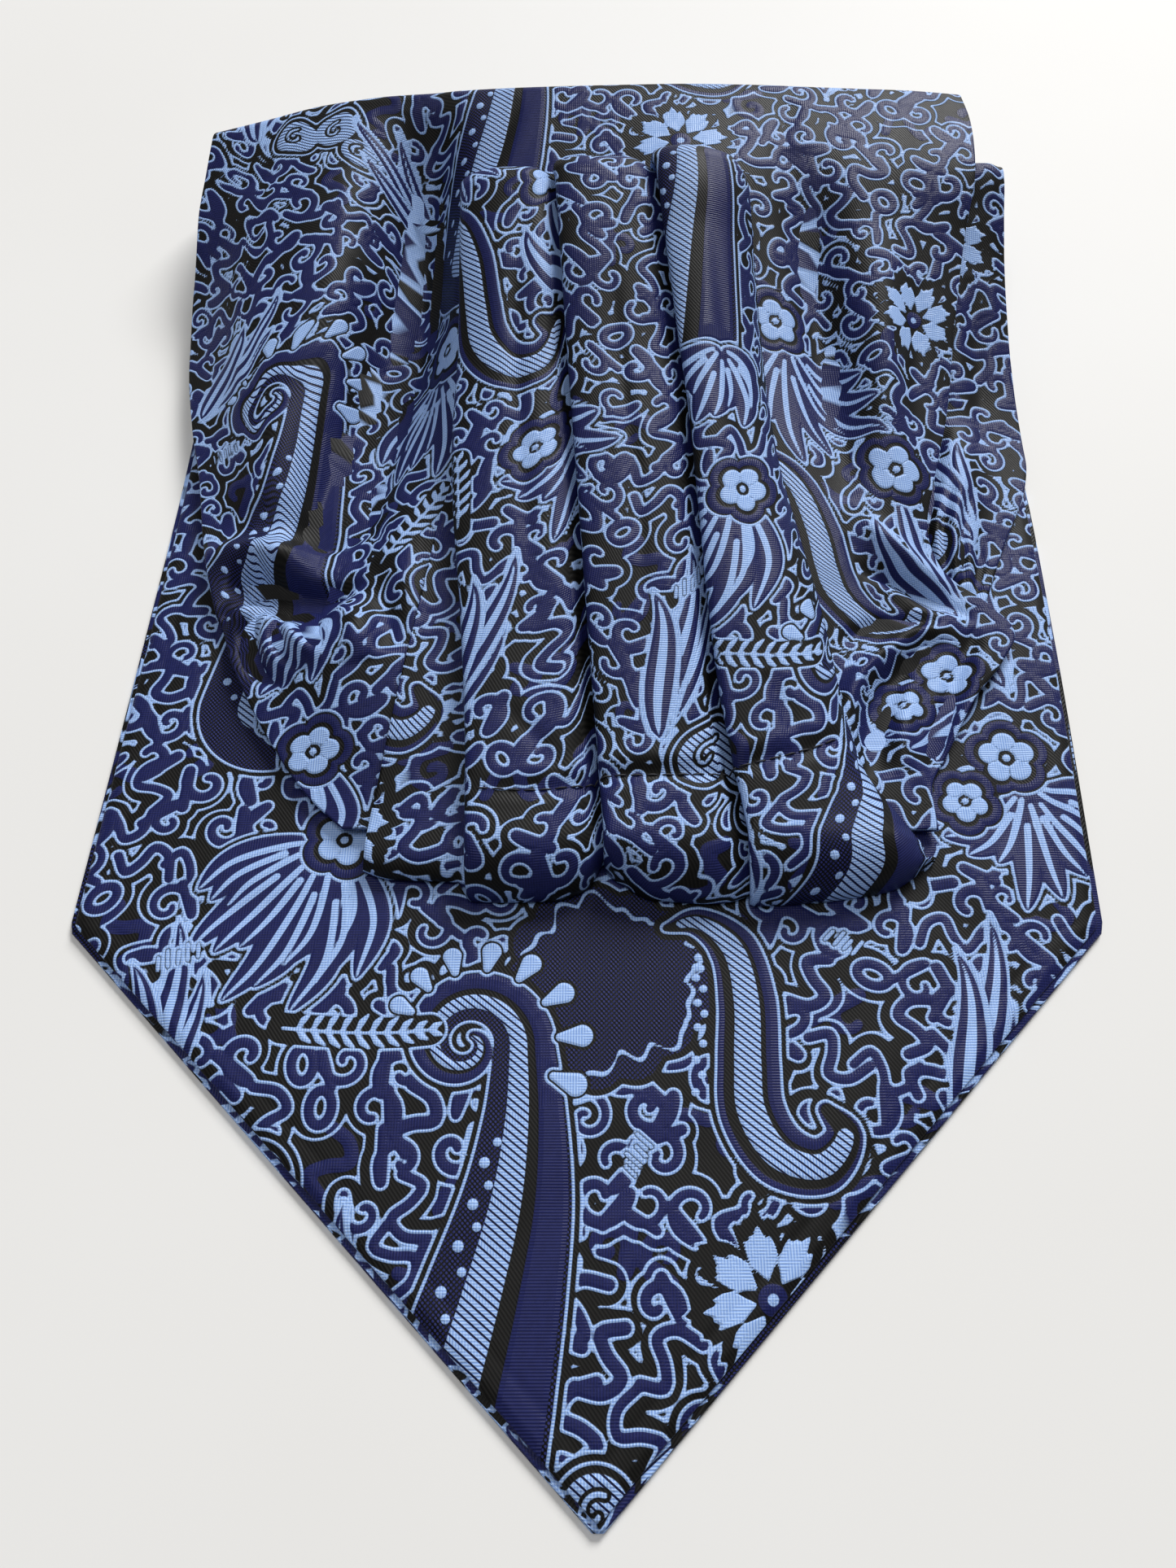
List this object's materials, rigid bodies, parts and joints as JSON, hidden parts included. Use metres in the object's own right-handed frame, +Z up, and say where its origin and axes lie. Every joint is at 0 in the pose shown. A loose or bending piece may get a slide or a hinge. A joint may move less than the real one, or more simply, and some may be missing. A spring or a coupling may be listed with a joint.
{
  "type": "folded silk cravat",
  "caption": "Wide silk cravat laid folded on a surface: flat pointed blade below, the cloth turned over a far fold and gathered into a pleated neckband on top.",
  "frame": {"origin": "middle of the outline, at the table under the flat blade", "axes": "+Z up from the table, +Y from the blade's point towards the far fold, +X across the blade to the viewer's right"},
  "size_m": [0.1606, 0.2512, 0.036],
  "materials": {
    "silk_front": "satin jacquard, charcoal ground with navy and light blue figures",
    "silk_panel": "satin jacquard, charcoal ground with navy and light blue figures",
    "silk_inner": "satin jacquard, charcoal ground with navy and light blue figures",
    "silk_band": "satin jacquard, pleated, charcoal ground with navy and light blue figures",
    "silk_hidden": "satin, dark"
  },
  "bodies": {
    "root": {"front_blade": "silk_front", "return_panel": "silk_panel", "under_fold": "silk_inner", "neckband": "silk_band", "hidden_layers": "silk_hidden"}
  },
  "joints": []
}
